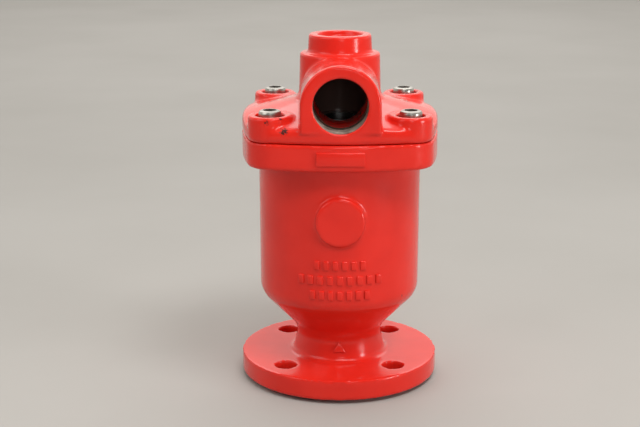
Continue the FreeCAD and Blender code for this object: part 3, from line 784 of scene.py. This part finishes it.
# %% Red epoxy
def paint_color(material, where, chipped, bare, cavity):
    """Red in two tones, dark chips, a dark brown cavity, and bare metal in the thread with painted shade in
    stripes for its turns.
    """
    tone = ramp(material, noise(material, where, 28, 4), 0.35, 0.68)
    color = blend(material, tone, RED, DEEP_RED)
    color = blend(material, chipped, color, CHIP)
    color = blend(material, cavity, color, CAVITY_BROWN)
    # Painted shade: dark stripes across the port's axis stand for the shade between the thread's turns; the
    # light stripes are the bare metal's colour.
    turns = add(material, "ShaderNodeMapping", {"Vector": where, "Scale": (14, 190, 14)}).outputs[0]
    scale = ramp(material, noise(material, turns, 1.6, 3, 0.6), 0.42, 0.56)
    return blend(material, bare, color, blend(material, scale, BARE, THREAD_TURN_SHADE))


def paint_roughness(material, where, chipped, bare):
    """Gloss that changes a little, and none on chips and bare metal."""
    gloss = ramp(material, noise(material, where, 90, 3), 0.2, 0.9)
    rough = add(material, "ShaderNodeMapRange", {"Value": gloss, "To Min": 0.15, "To Max": 0.26}).outputs[0]
    for zone, least in ((chipped, 0.7), (bare, 0.45)):
        rough = math_node(material, "MAXIMUM", rough, math_node(material, "MULTIPLY", zone, least))
    return rough


def red_epoxy():
    """The thick glossy coat of both castings."""
    material, shader, where = finish_for("red_epoxy", RED, 0.26)
    for socket, value in (("IOR", 1.34), ("Coat Weight", 0.25), ("Coat Roughness", 0.05), ("Coat IOR", 1.35)):
        shader.inputs[socket].default_value = value
    place = add(material, "ShaderNodeSeparateXYZ", {0: where}).outputs
    chipped = knocked(material, where)
    bare = tapped(material, place)
    color = paint_color(material, where, chipped, bare, inside_tower(material, place))
    wear(material, shader, base_color=color, roughness=paint_roughness(material, where, chipped, bare),
         metallic=math_node(material, "MULTIPLY", bare, 0.4))
    bump(material, shader, (noise(material, where, 45, 2), 0.45), (noise(material, where, 210, 2), 0.09),
         (noise(material, where, 520, 2), 0.035), (chipped, -0.25))
    return material


epoxy = red_epoxy()
print(epoxy.name, "has", len(epoxy.node_tree.nodes), "nodes")

# %% [markdown]
# ## Metals, rubber and fibre
# The inner pieces are bright turned steel, the nozzle is brass, and the seals are rubber.
# Each gets the fine marks that its making leaves.


# %% Metals
def turned_metal(name, color, roughness, marks=0.012):
    """Bright metal with fine turning marks and a little change of gloss."""
    material, shader, where = finish_for(name, color, roughness, 1.0)
    stretched = add(material, "ShaderNodeMapping", {"Vector": where, "Scale": (1, 1, 14)}).outputs[0]
    lines = noise(material, stretched, 260, 3, 0.6)
    cloud = noise(material, where, 70, 3)
    dull = tuple(0.72 * channel for channel in color)
    rough = add(material, "ShaderNodeMapRange", {
        "Value": cloud, "To Min": roughness * 0.7, "To Max": roughness * 1.5}).outputs[0]
    patchy = blend(material, ramp(material, cloud, 0.35, 0.75), color, dull)
    wear(material, shader, base_color=patchy, roughness=rough)
    bump(material, shader, (lines, marks))
    return material


def soft_seal(name, color, roughness):
    """Rubber or fibre with a fine grain."""
    material, shader, where = finish_for(name, color, roughness)
    grain = noise(material, where, 1500, 3)
    pale = tuple(1.6 * channel for channel in color)
    wear(material, shader, base_color=blend(material, ramp(material, grain, 0.4, 0.8), color, pale))
    bump(material, shader, (grain, 0.03))
    return material


STAIN = (0.16, 0.10, 0.07)


def bare_thread():
    """Cut iron, stained where the oil dried."""
    material, shader, where = finish_for("bare_thread", BARE, 0.42, 0.5)
    stain = ramp(material, noise(material, where, 160, 4, 0.65), 0.35, 0.7)
    wear(material, shader, base_color=blend(material, stain, BARE, STAIN))
    bump(material, shader, (noise(material, where, 900, 3), 0.05))
    return material


finishes = {
    "painted_iron": epoxy,
    "screw_steel": turned_metal("screw_steel", (0.43, 0.41, 0.37), 0.3),
    "stainless_steel": turned_metal("stainless_steel", (0.60, 0.60, 0.59), 0.24),
    "float_steel": turned_metal("float_steel", (0.66, 0.66, 0.65), 0.16, 0.006),
    "brass": turned_metal("brass", (0.72, 0.52, 0.22), 0.25),
    "seal_rubber": soft_seal("seal_rubber", (0.018, 0.018, 0.019), 0.62),
    "gasket_fibre": soft_seal("gasket_fibre", (0.12, 0.16, 0.10), 0.75)}
print(len(finishes), "finishes")


# %% Finishes on the pieces
def coat(thing, material):
    """Give a piece this finish and no other."""
    thing.data.materials.clear()
    thing.data.materials.append(material)


for row in frame["record"]["subparts"]:
    coat(frame["nodes"][row["node"]], finishes[row["material_slot"]])
for thing in (body, crown):
    coat(thing, epoxy)
for screw in screws:
    coat(screw, finishes["screw_steel"])
coat(thread, bare_thread())

# %% [markdown]
# ## Camera, floor and light
# The camera looks a little down on the valve from the front with a long lens. The room is
# pale and bright behind the valve and dimmer behind the camera, so that the gloss shows the
# room at the round edges. Seven soft lamps light it: the key high on the right, the brow high
# in front, which leaves a shadow under the top flange, a weak front lamp that reaches into the
# port, a fill on the left, a low tall window on the right, and two behind and above.

# %% Camera
CAMERA_PLACE = (-0.00943, -1.11091, 0.42978)
CAMERA_TILT = math.radians(75.278)
CAMERA_TURN = math.radians(0.354)
bpy.ops.object.camera_add(location=CAMERA_PLACE, rotation=(CAMERA_TILT, 0, CAMERA_TURN))
camera = bpy.context.object
camera.data.lens = 77.01
camera.data.sensor_width = 36
bpy.context.scene.camera = camera
print("camera lens:", round(camera.data.lens, 1), "mm")

# %% Floor
PLASTER = (0.39, 0.375, 0.35)
PLASTER_SHADE = (0.365, 0.35, 0.325)
bpy.ops.mesh.primitive_plane_add(size=12)
floor = bpy.context.object
floor.name = "floor"
plaster, plaster_shader, plaster_place = finish_for("plaster", PLASTER, 0.85)
clouds = ramp(plaster, noise(plaster, plaster_place, 3, 5), 0.35, 0.7)
wear(plaster, plaster_shader, base_color=blend(plaster, clouds, PLASTER, PLASTER_SHADE))
coat(floor, plaster)
print("floor:", round(floor.dimensions.x, 1), "m wide")

# %% Room light
ROOM_FRONT = (0.115, 0.105, 0.095, 1)
ROOM_BACK = (1.0, 0.96, 0.90, 1)
world = bpy.data.worlds.new("room")
bpy.context.scene.world = world
world.use_nodes = True
tree = world.node_tree
sky = tree.nodes["Background"]
direction = tree.nodes.new("ShaderNodeTexCoord")
parts = tree.nodes.new("ShaderNodeSeparateXYZ")
tree.links.new(direction.outputs["Generated"], parts.inputs[0])
fade = tree.nodes.new("ShaderNodeMapRange")
tree.links.new(parts.outputs["Y"], fade.inputs["Value"])
fade.inputs["From Min"].default_value = -0.7
fade.inputs["From Max"].default_value = 0.5
mix = tree.nodes.new("ShaderNodeMix")
mix.data_type = "RGBA"
tree.links.new(fade.outputs["Result"], mix.inputs[0])
mix.inputs[6].default_value = ROOM_FRONT
mix.inputs[7].default_value = ROOM_BACK
tree.links.new(mix.outputs[2], sky.inputs["Color"])
sky.inputs["Strength"].default_value = 0.95
print("room light:", len(tree.nodes), "nodes")

# %% Lamps
TOWARDS = Vector((0, 0, 0.15))
LAMPS = (
    ("key", (0.65, -0.8, 1.8), TOWARDS, (0.7, 0.7), 16.5),
    ("brow", (0.1, -1.05, 1.45), TOWARDS, (0.6, 0.4), 7),
    ("front", (0.15, -1.5, 0.5), (0, 0, 0.22), (0.4, 0.3), 1.2),
    ("fill", (-1.1, -0.7, 1.0), TOWARDS, (1.0, 1.0), 6),
    ("top", (0.1, 0.35, 1.8), TOWARDS, (1.2, 1.2), 3),
    ("window", (1.3, -0.75, 0.33), TOWARDS, (0.26, 0.5), 7),
    ("back", (0, 2.3, 1.7), (0, 2.3, 0), (2.4, 2.4), 26))
for name, place, aim, size, power in LAMPS:
    bpy.ops.object.light_add(type="AREA", location=place)
    lamp = bpy.context.object
    lamp.name = name
    lamp.data.shape = "RECTANGLE"
    lamp.data.size, lamp.data.size_y = size
    lamp.data.energy = power
    lamp.rotation_euler = (Vector(aim) - Vector(place)).to_track_quat("-Z", "Y").to_euler()
bpy.context.scene.view_settings.view_transform = "Standard"
print(len(LAMPS), "lamps")
